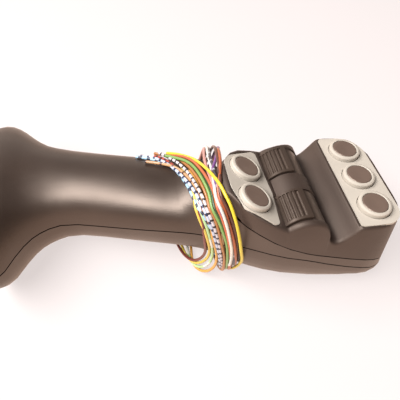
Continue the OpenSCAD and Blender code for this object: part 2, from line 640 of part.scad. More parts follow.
// Pin through the wall of the sleeve that stops it turning in the shells.
module sleeve_pin() {
    color([0.74, 0.74, 0.76]) placed() translate([pin_x, sleeve_y, pin_foot])
        cylinder(r = pin_r, h = pin_top - pin_foot);
}
module cable_grommet() {
    color([0.11, 0.11, 0.11]) placed() along_x(base_x - 1.6, grommet_y, grommet_z)
        rotate_extrude($fn = 48) polygon([
            [bundle_r + 0.2, 0], [grommet_r + 1.4, 0], [grommet_r + 1.8, 0.5], [grommet_r + 1.8, 1.5],
            [grommet_r - 0.1, 1.5], [grommet_r - 0.1, wall + 1.8], [grommet_r + 1.2, wall + 1.8],
            [grommet_r + 0.8, wall + 3.2], [bundle_r + 0.2, wall + 3.2]]);
}
// Clamp round the leads just inside the grommet.
module cable_clamp() {
    color([0.86, 0.86, 0.84]) placed() along_x(base_x + wall + 1.9, grommet_y, grommet_z) difference() {
        union() {
            cylinder(r = bundle_r + 1.6, h = 4);
            translate([-bundle_r - 2.6, -2, 0]) cube([4, 4, 4]);
        }
        translate([0, 0, -1]) cylinder(r = bundle_r, h = 6);
    }
}

// Loose leads: their route runs from the grommet behind the neck to the coil round it.
run_route = [
    [base_x - 1.6, grommet_y, grommet_z], [base_x - 12, 41.5, 23.5], [base_x - 21, 46, 19],
    [base_x - 26, 56, 12], [base_x - 25, 68, 7], [base_x - 16, 77, 5], [base_x - 2, 80, 5],
    [base_x + 14, 77, 5], [base_x + 30, 68, 5], [base_x + 44, 58, 5], [-50, 49, 5.2],
    [-40, 41, 6.5], [-31, 34.4, 8.6], [-23, 30, 10], [-15.6, 26.8, 10.6]];
tail_route = [[-20.3, 15.2, 50.7], [-24, 17.4, 49.6], [-29, 20.2, 48.5]];
tube_sides = 8;
function unit(v) = v / norm(v);
function spline(p, i, u) =
    let (a = p[max(i - 1, 0)], b = p[i], c = p[i + 1], d = p[min(i + 2, len(p) - 1)])
    0.5 * (2 * b + (c - a) * u + (2 * a - 5 * b + 4 * c - d) * u * u
        + (3 * b - a - 3 * c + d) * pow(u, 3));
function smooth_route(p, k) = concat(
    [for (i = [0:len(p) - 2], j = [0:k - 1]) spline(p, i, j / k)], [p[len(p) - 1]]);
function sweep_ring(p, t, r) =
    let (s = unit(cross(t, [0, 0, 1])), w = cross(s, t))
    [for (k = [0:tube_sides - 1])
        let (q = 360 * k / tube_sides) p + r * (s * cos(q) + w * sin(q))];
module tube(route, r, k, first) {
    p = smooth_route(route, k);
    n = len(p);
    rings = [for (i = [0:n - 1])
        sweep_ring(p[i], i == 0 ? first : unit(p[min(i + 1, n - 1)] - p[i - 1]), r)];
    m = tube_sides;
    polyhedron([for (g = rings) each g], concat(
        [[for (i = [m - 1:-1:0]) i]], [[for (i = [0:m - 1]) (n - 1) * m + i]], ring_faces(n, m)));
}
coil_x = -15.3;
coil_w = 13;
coil_in = [22, 21.4];
coil_t = 4.4;
coil_z = 27.4;
function oval(a, b) = [for (i = [0:47]) [a * cos(7.5 * i), b * sin(7.5 * i)]];
module harness_run() {
    color([0.80, 0.65, 0.20]) placed() tube(run_route, bundle_r, 3, [-1, 0, 0]);
}
module harness_coil() {
    color([0.85, 0.55, 0.20]) placed() translate([coil_x, neck_y(coil_x), coil_z])
        rotate([0, 0, atan(neck_skew)]) rotate([90, 0, 90])
            linear_extrude(coil_w, center = true) difference() {
                polygon(oval(coil_in[0] + coil_t, coil_in[1] + coil_t));
                polygon(oval(coil_in[0], coil_in[1]));
            }
}
module harness_tails() {
    color([0.60, 0.66, 0.72]) placed() tube(tail_route, 2.2, 3, unit(tail_route[1] - tail_route[0]));
}

back_shell();
front_shell();
head_cover();
left_plate();
right_plate();
bezel_left_1();
bezel_left_2();
bezel_right_1();
bezel_right_2();
bezel_right_3();
cap_left_1();
cap_left_2();
cap_right_1();
cap_right_2();
cap_right_3();
bezel_nuts();
switch_bodies();
snap_domes();
switch_leads();
roller_upper();
roller_lower();
roller_magnets_upper();
roller_magnets_lower();
roller_axles();
roller_springs();
roller_frame();
frame_screws();
hall_sensors();
control_board();
board_parts();
board_socket();
board_screws();
shell_screws();
head_screws();
mount_sleeve();
set_screws();
sleeve_pin();
cable_grommet();
cable_clamp();
harness_run();
harness_coil();
harness_tails();
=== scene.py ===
import bpy
import bmesh
import json
import math
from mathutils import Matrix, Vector
from mathutils.bvhtree import BVHTree
from mathutils.kdtree import KDTree

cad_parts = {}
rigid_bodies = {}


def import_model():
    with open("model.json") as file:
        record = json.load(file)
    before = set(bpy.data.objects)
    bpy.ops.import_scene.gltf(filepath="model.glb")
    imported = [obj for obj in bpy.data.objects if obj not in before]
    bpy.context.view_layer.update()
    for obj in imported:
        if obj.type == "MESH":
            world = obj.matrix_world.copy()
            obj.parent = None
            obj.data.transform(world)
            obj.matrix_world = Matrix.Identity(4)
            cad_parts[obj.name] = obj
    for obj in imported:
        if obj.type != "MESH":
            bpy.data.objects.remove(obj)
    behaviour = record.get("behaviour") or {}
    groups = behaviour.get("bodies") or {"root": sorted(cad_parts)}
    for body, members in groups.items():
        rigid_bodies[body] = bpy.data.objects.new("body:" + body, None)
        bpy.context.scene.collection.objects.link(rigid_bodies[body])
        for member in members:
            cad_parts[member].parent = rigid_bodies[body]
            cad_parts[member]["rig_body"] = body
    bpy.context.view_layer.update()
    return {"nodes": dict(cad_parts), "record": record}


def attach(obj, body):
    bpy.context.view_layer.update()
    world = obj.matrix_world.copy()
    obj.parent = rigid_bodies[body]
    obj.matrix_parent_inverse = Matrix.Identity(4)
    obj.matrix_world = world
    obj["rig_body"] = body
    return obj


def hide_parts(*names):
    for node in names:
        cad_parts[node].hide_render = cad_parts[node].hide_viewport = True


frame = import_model()
nodes = frame["nodes"]
scene = bpy.context.scene
print("frame loaded:", len(nodes), "nodes")

# lists of points here are in millimetres in the grip's own drawing frame, as in part.scad,
# and this is where its datum lies in the shared frame
datum = Vector((0.01725, -0.01355, 0.0))


def mm(x, y, z):
    return Vector((x, y, z)) * 0.001 + datum


def inGrip(p):
    return (p - datum) * 1000


# the camera stands in front of the grip and above it, and looks down along its view direction
cameraSettings = {
    "place": (-22.05, -128.83, 186.0),
    "view": (0.1094, 0.6390, -0.7614),
    "lens": 38.7,
    "sensor": 36,
    "nearest": 0.01,
}


def setCamera(s):
    data = bpy.data.cameras.new("camera")
    data.lens = s["lens"]
    data.sensor_width = s["sensor"]
    data.clip_start = s["nearest"]
    camera = bpy.data.objects.new("camera", data)
    scene.collection.objects.link(camera)
    camera.location = mm(*s["place"])
    camera.rotation_mode = "QUATERNION"
    camera.rotation_quaternion = Vector(s["view"]).to_track_quat("-Z", "Y")
    scene.camera = camera


setCamera(cameraSettings)
print("camera set")


# heights of the two parting lines along the grip, as in part.scad
partingLines = {
    "backSeam": [
        (-106, 23.5), (-88, 26.4), (-70, 28), (-50, 28.5), (-30, 30), (0, 32.6), (14, 33.2),
        (23, 32), (33, 29), (43, 25.8), (54, 21.2), (65, 17.4), (73, 14.2), (84.8, 10.5)],
    "coverSeam": [
        (5, 53.5), (8, 51.7), (11, 49.5), (19.5, 44.4), (29.4, 38), (40, 32), (51, 28.2),
        (62, 24.6), (72, 21), (84.8, 15)],
}
# the gap left there in millimetres; in metres, how near the line the painted shade in the gap is
# darkest and how far off it is gone; and what is left of the colour and the gloss where it is darkest
seamGapAndShade = {"gap": 0.25, "dark": 0.00024, "clear": 0.00048, "left": 0.02}


def heightAt(line, x):
    # the same smooth curve as part.scad's, flat at both ends
    i = 0
    while i < len(line) - 2 and x >= line[i + 1][0]:
        i += 1

    def slope(k):
        if k <= 0 or k >= len(line) - 1:
            return 0.0
        return (line[k + 1][1] - line[k - 1][1]) / (line[k + 1][0] - line[k - 1][0])

    h = line[i + 1][0] - line[i][0]
    u = max(0.0, min(1.0, (x - line[i][0]) / h))
    v = 1 - u
    return (v * v * (1 + 2 * u) * line[i][1] + u * u * (3 - 2 * u) * line[i + 1][1]
            + h * u * v * (v * slope(i) - u * slope(i + 1)))


def newNode(tree, kind, **values):
    # values go to the inputs of that name, and otherwise to the node's settings
    n = tree.nodes.new(kind)
    for k, v in values.items():
        if k in n.inputs:
            n.inputs[k].default_value = v
        else:
            setattr(n, k, v)
    return n


def setStops(ramp, stops):
    e = ramp.color_ramp.elements
    while len(e) < len(stops):
        e.new(1.0)
    for stop, (place, colour) in zip(e, stops):
        stop.position = place
        stop.color = (*colour, 1)


# what a finish has unless it says otherwise: metal, gloss and its tint; how far the colour clouds,
# how finely and between which levels of the noise; how far the roughness strays from its middle in
# rubbed patches; the stretch, fineness and depth in metres of the moulded or turned grain; and
# whether painted shade darkens it along the parting lines
commonFinish = {
    "metal": 0.0,
    "spec": 0.5,
    "tint": (1, 1, 1),
    "cloud": 0.12,
    "cloudScale": 60.0,
    "cloudLevels": (0.3, 0.7),
    "roughSpan": 0.06,
    "rubScale": 35.0,
    "rubLevels": (0.35, 0.65),
    "stretch": (1, 1, 1),
    "grainScale": 1600.0,
    "grainDepth": 0.0001,
    "paintedSeamShade": False,
}


def makeFinish(name, special):
    # every pattern reads object coordinates
    look = {**commonFinish, **special}
    m = bpy.data.materials.new(name)
    m.use_nodes = True
    t = m.node_tree
    link = t.links.new
    shader = t.nodes["Principled BSDF"]
    shader.inputs["Metallic"].default_value = look["metal"]
    shader.inputs["Specular IOR Level"].default_value = look["spec"]
    shader.inputs["Specular Tint"].default_value = (*look["tint"], 1)
    place = newNode(t, "ShaderNodeTexCoord")
    cloud = newNode(t, "ShaderNodeTexNoise", Scale=look["cloudScale"], Detail=3.0)
    link(place.outputs["Object"], cloud.inputs["Vector"])
    ramp = newNode(t, "ShaderNodeValToRGB")
    shades = ([v * k for v in look["colour"]] for k in (1 - look["cloud"], 1 + look["cloud"]))
    setStops(ramp, list(zip(look["cloudLevels"], shades)))
    link(cloud.outputs["Fac"], ramp.inputs["Fac"])
    link(ramp.outputs["Color"], shader.inputs["Base Color"])
    rub = newNode(t, "ShaderNodeTexNoise", Scale=look["rubScale"], Detail=4.0)
    link(place.outputs["Object"], rub.inputs["Vector"])
    rubbed = newNode(t, "ShaderNodeMapRange")
    rubbed.inputs["From Min"].default_value, rubbed.inputs["From Max"].default_value = look["rubLevels"]
    rubbed.inputs["To Min"].default_value = look["rough"] - look["roughSpan"]
    rubbed.inputs["To Max"].default_value = look["rough"] + look["roughSpan"]
    link(rub.outputs["Fac"], rubbed.inputs["Value"])
    link(rubbed.outputs["Result"], shader.inputs["Roughness"])
    stretch = newNode(t, "ShaderNodeMapping", Scale=look["stretch"])
    link(place.outputs["Object"], stretch.inputs["Vector"])
    grain = newNode(t, "ShaderNodeTexNoise", Scale=look["grainScale"], Detail=2.0)
    link(stretch.outputs["Vector"], grain.inputs["Vector"])
    bump = newNode(t, "ShaderNodeBump", Strength=look["grain"], Distance=look["grainDepth"])
    link(grain.outputs["Fac"], bump.inputs["Height"])
    link(bump.outputs["Normal"], shader.inputs["Normal"])
    if look["paintedSeamShade"]:
        addPaintedSeamShade(t, shader, ramp.outputs["Color"], look["spec"])
    return m


def addPaintedSeamShade(t, shader, colour, shine):
    # painted shade in the parting lines' gaps: the colour darkened and the gloss dulled where either
    # line is near
    link = t.links.new
    nearest = newNode(t, "ShaderNodeMath", operation="MINIMUM")
    for line, socket in zip(partingLines, nearest.inputs):
        height = newNode(t, "ShaderNodeAttribute", attribute_name=line)
        away = newNode(t, "ShaderNodeMath", operation="ABSOLUTE")
        link(height.outputs["Fac"], away.inputs[0])
        link(away.outputs[0], socket)
    lit, glossy = (newNode(t, "ShaderNodeMapRange", interpolation_type="SMOOTHSTEP") for _ in range(2))
    for fade, most in ((lit, 1.0), (glossy, shine)):
        fade.inputs["From Min"].default_value = seamGapAndShade["dark"]
        fade.inputs["From Max"].default_value = seamGapAndShade["clear"]
        fade.inputs["To Min"].default_value = seamGapAndShade["left"]
        fade.inputs["To Max"].default_value = most
        link(nearest.outputs[0], fade.inputs["Value"])
    shade = newNode(t, "ShaderNodeMix", data_type="RGBA", blend_type="MULTIPLY", Factor=1.0)
    link(colour, shade.inputs["A"])
    link(lit.outputs["Result"], shade.inputs["B"])
    link(shade.outputs["Result"], shader.inputs["Base Color"])
    link(glossy.outputs["Result"], shader.inputs["Specular IOR Level"])


# loose leads: a run from the grommet behind the hand rest, then each lead's own way round the neck;
# lengths are in millimetres, and those of the insulation's material in metres
harness = {
    "diameter": 1.4,
    "sides": 10,
    "step": 1.2,
    "pitch": 1.6,
    # the bundle is thinner than part.scad's tube, so where it lies low it settles on the floor
    "low": 8,
    "settle": 0.9,
    # the run's points, as in part.scad, and two more to where the leads part
    "run": [
        (-99, 41, 24), (-107.6, 41, 24), (-118, 41.5, 23.5), (-127, 46, 19), (-132, 56, 12),
        (-131, 68, 7), (-122, 77, 5), (-108, 80, 5), (-92, 77, 5), (-76, 68, 5), (-62, 58, 5),
        (-50, 49, 5.2), (-42, 43, 5.6), (-36, 38, 6)],
    # the insulation: how much its colours are dimmed, its gloss, how far the tracer wanders, how
    # soft its edges are, how dusty it is and how finely that clouds, and the grain of its skin
    "shade": 0.62,
    "rough": 0.38,
    "spec": 0.55,
    "wander": 0.003,
    "edge": 0.02,
    "dust": 0.25,
    "dustScale": 90.0,
    "skin": 0.15,
    "skinScale": 1500.0,
    "skinDepth": 0.00005,
}
# colour of the insulation, and on some the colour of a tracer, its pitch in metres and its share of
# that pitch
leadLooks = {
    "leadSky": ((0.42, 0.66, 0.82), (0.02, 0.03, 0.07), 0.0044, 0.42),
    "leadBlueTick": ((0.66, 0.70, 0.84), (0.03, 0.04, 0.10), 0.0037, 0.34),
    "leadBlackTick": ((0.80, 0.72, 0.74), (0.02, 0.015, 0.02), 0.0032, 0.30),
    "leadRedTick": ((0.45, 0.05, 0.03), (0.03, 0.01, 0.01), 0.0038, 0.35),
    "leadTan": ((0.62, 0.34, 0.16), (0.10, 0.03, 0.02), 0.0070, 0.15),
    "leadOrange": ((0.50, 0.20, 0.06),),
    "leadGreen": ((0.24, 0.41, 0.11),),
    "leadSalmon": ((0.62, 0.15, 0.06),),
    "leadYellow": ((0.88, 0.69, 0.04),),
    "leadForest": ((0.03, 0.07, 0.02),),
    "leadPurple": ((0.22, 0.08, 0.26),),
    "leadVermilion": ((0.50, 0.12, 0.04),),
    "leadBrown": ((0.12, 0.04, 0.025),),
    "leadPink": ((0.70, 0.32, 0.27),),
    # the pale tracer ticks on this nearly black lead are painted glints
    "leadGrey": ((0.06, 0.05, 0.06), (0.5, 0.48, 0.5), 0.0090, 0.14),
    "leadWhite": ((0.86, 0.82, 0.74),),
    "leadLemon": ((0.87, 0.62, 0.10),),
    "leadMint": ((0.55, 0.76, 0.36), (0.9, 0.9, 0.8), 0.02, 0.3),
    "leadAmber": ((0.85, 0.42, 0.09),),
    "leadMaroon": ((0.22, 0.04, 0.03),),
}


# how a way begins: under the neck, under it nearer to the hand rest, or up behind it
def underNeck(x):
    return [(x - 24, 32, 5), (x - 12, 26, 3), (x - 6, 17, 3), (x - 3, 6, 3), (x - 1, -6, 3), (x, -18, 3)]


def underWaist(x):
    return [(x - 19, 31, 4), (x - 12, 25, 3), (x - 7, 16, 3), (x - 5, 6, 3), (x - 3, -4, 3)]


def behindNeck(x, y):
    return [(x - 22, y + 10, 6), (x - 12, y + 10, 10), (x - 6, y + 9, 18), (x - 3, y + 9, 27),
            (x - 1, y + 8, 36), (x, y + 5, 44)]


# each lead's place in the run and its own way from there: most pass under the neck, up its near side
# and over the crest, and six come up behind it and go down the near side
leadWays = {
    "leadSky": (6, [
        *underNeck(6), (6, -22, 7), (5, -24, 20), (4, -24, 30), (1, -22, 40), (-2, -17, 46),
        (-5, -6, 47), (-10, 8, 47), (-18, 18, 45), (-27, 22, 44)]),
    "leadBlueTick": (0, [
        *underNeck(7), (6, -24, 8), (5, -26, 22), (3, -25, 34), (0, -21, 46), (-3, -12, 50),
        (-7, 0, 49), (-12, 11, 47), (-18, 18, 45), (-25, 22, 44)]),
    "leadBlackTick": (3, [
        *underNeck(7), (7, -24, 8), (5, -26, 22), (4, -25, 36), (1, -21, 48), (-2, -11, 51),
        (-5, 2, 50), (-9, 13, 47), (-16, 24, 43)]),
    "leadRedTick": (5, [
        *underNeck(8), (7, -23, 7), (6, -25, 22), (4, -25, 34), (1, -21, 45), (-3, -11, 49),
        (-7, 2, 48), (-12, 14, 46), (-18, 24, 41)]),
    "leadTan": (4, [
        *underNeck(8), (8, -24, 8), (7, -25, 20), (6, -26, 32), (3, -23, 44), (-1, -14, 50),
        (-5, 0, 49), (-11, 10, 47), (-17, 14, 46), (-23, 16, 46)]),
    "leadOrange": (1, [
        *underNeck(6), (7, -25, 8), (7, -27, 20), (5, -26, 34), (2, -21, 47), (0, -10, 52),
        (-3, 3, 50), (-8, 17, 45), (-18, 26, 41)]),
    "leadGreen": (11, [
        *underNeck(9), (8, -25, 9), (8, -28, 22), (7, -28, 36), (4, -24, 46), (2, -14, 52),
        (0, -2, 52), (-4, 10, 49), (-13, 19, 45)]),
    "leadSalmon": (15, [
        *underNeck(10), (9, -26, 10), (9, -29, 26), (7, -28, 40), (5, -22, 51), (3, -11, 54),
        (0, 3, 52), (-4, 15, 47), (-11, 23, 42)]),
    "leadYellow": (10, [
        *underNeck(9), (9, -23, 5), (12, -26, 12), (14, -30, 22), (12, -33, 34), (10, -31, 49),
        (7, -23, 60), (4, -12, 60), (1, 2, 54), (-2, 13, 48), (-12, 24, 42)]),
    "leadForest": (16, [
        *underNeck(9), (9, -24, 9), (8, -27, 21), (7, -28, 34), (5, -24, 46), (3, -13, 53),
        (0, 0, 51), (-3, 12, 47), (-10, 23, 42)]),
    "leadPurple": (9, [
        *behindNeck(12, 17), (11, 14, 51), (9, 7, 57), (6, -3, 58), (4, -13, 58), (4, -22, 55),
        (8, -27, 43), (10, -28, 30), (11, -26, 12), (11, -17, 3), (9, -7, 2)]),
    "leadVermilion": (13, [
        *behindNeck(12, 14), (10, 12, 52), (9, 5, 59), (8, -5, 60), (6, -19, 57), (7, -26, 48),
        (10, -30, 36), (11, -28, 18), (12, -22, 9), (10, -9, 6)]),
    "leadBrown": (14, [
        *behindNeck(10, 18), (9, 15, 51), (8, 7, 58), (7, -10, 60), (6, -21, 58), (9, -27, 48),
        (11, -29, 34), (11, -28, 20), (11, -21, 8), (9, -7, 4)]),
    "leadPink": (19, [
        *behindNeck(6, 18), (5, 17, 49), (3, 8, 52), (3, -3, 54), (4, -17, 56), (7, -25, 48),
        (9, -28, 33), (9, -26, 17), (9, -17, 3), (8, -7, 2)]),
    "leadGrey": (8, [
        *behindNeck(8, 18), (7, 16, 49), (5, 6, 54), (5, -7, 58), (5, -18, 58), (8, -26, 46),
        (10, -30, 30), (10, -28, 15), (9, -17, 7), (8, -10, 6)]),
    "leadWhite": (2, [
        *behindNeck(7, 19), (6, 16, 50), (5, 4, 54), (4, -10, 57), (4, -20, 57), (7, -28, 46),
        (9, -30, 30), (9, -27, 14), (8, -14, 8), (7, -8, 7)]),
    "leadLemon": (18, [
        *underWaist(-7), (-9, -13, 4), (-5, -18, 5), (0, -20, 12), (1, -22, 25), (-2, -20, 40),
        (-4, -9, 48), (-5, 1, 48), (-7, 10, 46)]),
    "leadMint": (12, [
        *underWaist(-4), (-8, -14, 3), (-4, -20, 4), (1, -22, 11), (2, -23, 25), (-1, -20, 42),
        (-3, -11, 48), (-4, -2, 48), (-6, 7, 47)]),
    "leadAmber": (17, [
        *underWaist(-2), (-7, -16, 2), (-2, -22, 3), (3, -24, 10), (4, -24, 24), (1, -22, 41),
        (-1, -15, 49), (-2, -5, 50), (-4, 4, 49)]),
    "leadMaroon": (7, [
        *underWaist(-9), (-10, -11, 4), (-6, -17, 6), (-1, -19, 14), (-1, -21, 27), (-2, -19, 44),
        (-2, -9, 49), (-3, 1, 49)]),
}
# how hard the leads are pushed apart and off the housing, with lengths in millimetres; where they
# are crowded this isn't enough, and many still press into a neighbour
spread = {
    "step": 2.4,
    "rounds": 70,
    # the shares by which each round straightens a lead, holds it to its drawn way and presses it
    # off its neighbours; the last few rounds go without the hold
    "straighten": 0.3,
    "hold": 0.09,
    "press": 1.1,
    "freeRounds": 6,
    # the gap aimed at from middle to middle of two leads, and the least that one is taken for
    "gap": 1.46,
    "closest": 0.05,
    # the same from a lead's middle to the housing and to the floor
    "clear": 0.78,
    "floor": 0.75,
    # a point is inside the housing when it lies nearly square below a face, and no deeper than this
    "square": 0.8,
    "deepest": 4.0,
    # the stretch of the housing that the leads can touch, its axis, and how far a face must look
    # back along the grip to be an outer one even if it doesn't look away from the axis
    "stretch": (-68, 42),
    "slant": -0.329,
    "axisHeight": 27,
    "endFace": -0.6,
}


def smoothRoute(points, step):
    # a curve through the points, then evenly spaced ones on it
    p = [points[0] * 2 - points[1], *points, points[-1] * 2 - points[-2]]
    dense = []
    for a, b, c, d in zip(p, p[1:], p[2:], p[3:]):
        before, here, after = ((y - x).length ** 0.5 + 1e-9 for x, y in ((a, b), (b, c), (c, d)))
        leave = (b - a) / before - (c - a) / (before + here) + (c - b) / here
        arrive = (c - b) / here - (d - b) / (here + after) + (d - c) / after
        n = max(2, int((c - b).length / step * 3))
        for u in (j / n for j in range(n)):
            dense.append((2 * u ** 3 - 3 * u ** 2 + 1) * b + (u ** 3 - 2 * u ** 2 + u) * leave * here
                         + (3 * u ** 2 - 2 * u ** 3) * c + (u ** 3 - u ** 2) * arrive * here)
    dense.append(p[-2].copy())
    along = [0.0]
    for a, b in zip(dense, dense[1:]):
        along.append(along[-1] + (b - a).length)
    n = round(along[-1] / step)
    route, k = [], 0
    for i in range(n + 1):
        goal = along[-1] * i / n
        while k < len(along) - 2 and along[k + 1] < goal:
            k += 1
        share = (goal - along[k]) / max(1e-9, along[k + 1] - along[k])
        route.append(dense[k].lerp(dense[k + 1], share))
    return route


# closely packed lanes round the middle one, 60 degrees apart on each ring: the ring's first lane,
# its distance in pitches and that lane's turn
laneRings = ((1, 1, 0), (7, 2, 0), (13, 3 ** 0.5, 30), (19, 7 ** 0.5, 19.1))


def laneShift(k, pitch):
    if k == 0:
        return 0.0, 0.0
    first, out, turn = [ring for ring in laneRings if ring[0] <= k][-1]
    turn = math.radians(turn + 60 * (k - first))
    return pitch * out * math.cos(turn), pitch * out * math.sin(turn)


def leadRoute(lane, own, h):
    # a lead's points in its lane of the run and on its own way, and where it leaves the run
    sideways, upwards = laneShift(lane, h["pitch"])
    run = [Vector((x, y, z - h["settle"] * (z < h["low"]))) for x, y, z in h["run"]]
    line = []
    for i, p in enumerate(run):
        t = (run[min(i + 1, len(run) - 1)] - run[max(i - 1, 0)]).normalized()
        side = t.cross(Vector((0, 0, 1))).normalized()
        line.append(p + side * sideways + side.cross(t) * upwards)
    parting = line[-1]
    route = smoothRoute(line + [Vector(p) for p in own], spread["step"])
    return route, min(range(len(route)), key=lambda i: (route[i] - parting).length)


def housingSkin(s):
    # the outer faces of the housing that leads can touch, without the walls inside it
    spots, faces = [], []
    low, high = s["stretch"]
    for name in ("back_shell", "front_shell", "head_cover", "left_plate"):
        o = nodes[name]
        first = len(spots)
        spots += [inGrip(o.matrix_world @ v.co) for v in o.data.vertices]
        for face in o.data.polygons:
            corners = [first + v for v in face.vertices]
            middle = sum((spots[c] for c in corners), Vector()) / len(corners)
            outward = middle - Vector((middle.x, s["slant"] * middle.x, s["axisHeight"]))
            outside = face.normal.dot(outward) > 0 or face.normal.x < s["endFace"]
            if outside and low < middle.x < high:
                faces.append(corners)
    return BVHTree.FromPolygons(spots, faces)


def easedPoint(line, drawn, i, hold, s):
    p = line[i]
    if i + 1 < len(line):
        p = p.lerp((line[i - 1] + line[i + 1]) / 2, s["straighten"])
    return p.lerp(drawn[i], hold)


def clearOf(p, skin, s):
    near, normal, _, away = skin.find_nearest(p)
    below = -(p - near).dot(normal)
    if away < s["clear"] or s["square"] * away < below < s["deepest"]:
        p = near + normal * s["clear"]
    p.z = max(p.z, s["floor"])
    return p


def spreadLeads(lines, partings, s):
    # leads drawn through one another move some way apart, and off the housing and the floor
    skin = housingSkin(s)
    loose = [(k, i) for k, line in enumerate(lines) for i in range(partings[k] + 1, len(line))]
    drawn = [[p.copy() for p in line] for line in lines]
    for turn in range(s["rounds"]):
        hold = s["hold"] if turn < s["rounds"] - s["freeRounds"] else 0.0
        eased = [easedPoint(lines[k], drawn[k], i, hold, s) for k, i in loose]
        tree = KDTree(len(loose))
        for n, p in enumerate(eased):
            tree.insert(p, n)
        tree.balance()
        for (k, i), p in zip(loose, eased):
            pushes = [(p - q) * (s["gap"] / max(far, s["closest"]) - 1) / 2
                      for q, m, far in tree.find_range(p, s["gap"]) if loose[m][0] != k]
            if pushes:
                p = p + sum(pushes, Vector()) * s["press"] / len(pushes)
            lines[k][i] = clearOf(p, skin, s)


def tubeTree():
    # a round tube along a curve, which keeps its length so far for the tracer
    t = bpy.data.node_groups.new("tubeAlongCurve", "GeometryNodeTree")
    face = t.interface
    face.new_socket("Geometry", in_out="INPUT", socket_type="NodeSocketGeometry")
    face.new_socket("Radius", in_out="INPUT", socket_type="NodeSocketFloat")
    face.new_socket("Sides", in_out="INPUT", socket_type="NodeSocketInt")
    face.new_socket("Insulation", in_out="INPUT", socket_type="NodeSocketMaterial")
    face.new_socket("Geometry", in_out="OUTPUT", socket_type="NodeSocketGeometry")
    start, end = t.nodes.new("NodeGroupInput"), t.nodes.new("NodeGroupOutput")
    length = t.nodes.new("GeometryNodeSplineParameter")
    keepLength = t.nodes.new("GeometryNodeStoreNamedAttribute")
    keepLength.data_type, keepLength.domain = "FLOAT", "POINT"
    keepLength.inputs["Name"].default_value = "alongLead"
    ring = t.nodes.new("GeometryNodeCurvePrimitiveCircle")
    sweep = t.nodes.new("GeometryNodeCurveToMesh")
    sweep.inputs["Fill Caps"].default_value = True
    smooth = t.nodes.new("GeometryNodeSetShadeSmooth")
    real = t.nodes.new("GeometryNodeRealizeInstances")
    paint = t.nodes.new("GeometryNodeSetMaterial")
    link = t.links.new
    link(start.outputs["Geometry"], keepLength.inputs["Geometry"])
    link(length.outputs["Length"], keepLength.inputs["Value"])
    link(keepLength.outputs["Geometry"], sweep.inputs["Curve"])
    link(start.outputs["Radius"], ring.inputs["Radius"])
    link(start.outputs["Sides"], ring.inputs["Resolution"])
    link(ring.outputs["Curve"], sweep.inputs["Profile Curve"])
    link(sweep.outputs["Mesh"], smooth.inputs["Geometry"])
    link(smooth.outputs["Geometry"], real.inputs["Geometry"])
    link(real.outputs["Geometry"], paint.inputs["Geometry"])
    link(start.outputs["Insulation"], paint.inputs["Material"])
    link(paint.outputs["Geometry"], end.inputs["Geometry"])
    return t


def setInput(modifier, name, value):
    for item in modifier.node_group.interface.items_tree:
        if item.item_type == "SOCKET" and item.in_out == "INPUT" and item.name == name:
            modifier[item.identifier] = value


def bakeModifier(o, name):
    bpy.context.view_layer.update()
    mesh = bpy.data.meshes.new_from_object(o.evaluated_get(bpy.context.evaluated_depsgraph_get()))
    mesh.name = name
    bpy.data.objects.remove(o)
    piece = bpy.data.objects.new(name, mesh)
    scene.collection.objects.link(piece)
    return piece


def leadFinish(name, h, base, tracer=None, pitch=1.0, share=0.0):
    # coloured insulation, with a tracer that repeats along the lead where there is one
    m = bpy.data.materials.new(name + "Insulation")
    m.use_nodes = True
    t = m.node_tree
    link = t.links.new
    shader = t.nodes["Principled BSDF"]
    shader.inputs["Roughness"].default_value = h["rough"]
    shader.inputs["Specular IOR Level"].default_value = h["spec"]
    along = newNode(t, "ShaderNodeAttribute", attribute_name="alongLead")
    place = newNode(t, "ShaderNodeTexCoord")
    cloud = newNode(t, "ShaderNodeTexNoise", Scale=h["dustScale"], Detail=2.0)
    link(place.outputs["Object"], cloud.inputs["Vector"])
    wander = newNode(t, "ShaderNodeMath", operation="MULTIPLY_ADD")
    wander.inputs[1].default_value = h["wander"]
    link(cloud.outputs["Fac"], wander.inputs[0])
    link(along.outputs["Fac"], wander.inputs[2])
    turns = newNode(t, "ShaderNodeMath", operation="DIVIDE")
    turns.inputs[1].default_value = pitch
    link(wander.outputs[0], turns.inputs[0])
    part = newNode(t, "ShaderNodeMath", operation="FRACT")
    link(turns.outputs[0], part.inputs[0])
    ramp = newNode(t, "ShaderNodeValToRGB")
    stops = [(0.0, base), (1.0, base)]
    if tracer:
        stops = [(0.0, tracer), (share - h["edge"], tracer), (share + h["edge"], base), (1.0, base)]
    setStops(ramp, [(at, [v * h["shade"] for v in colour]) for at, colour in stops])
    link(part.outputs[0], ramp.inputs["Fac"])
    # scuffed and a little dusty
    dusty = newNode(t, "ShaderNodeMix", data_type="RGBA", blend_type="MULTIPLY", Factor=h["dust"])
    link(ramp.outputs["Color"], dusty.inputs["A"])
    link(cloud.outputs["Fac"], dusty.inputs["B"])
    link(dusty.outputs["Result"], shader.inputs["Base Color"])
    skin = newNode(t, "ShaderNodeTexNoise", Scale=h["skinScale"], Detail=2.0)
    link(place.outputs["Object"], skin.inputs["Vector"])
    bump = newNode(t, "ShaderNodeBump", Strength=h["skin"], Distance=h["skinDepth"])
    link(skin.outputs["Fac"], bump.inputs["Height"])
    link(bump.outputs["Normal"], shader.inputs["Normal"])
    return m


def lineObject(name, route):
    curve = bpy.data.curves.new(name, "CURVE")
    curve.dimensions = "3D"
    line = curve.splines.new("POLY")
    line.points.add(len(route) - 1)
    for point, p in zip(line.points, route):
        point.co = (*p, 1)
    o = bpy.data.objects.new(name, curve)
    scene.collection.objects.link(o)
    return o


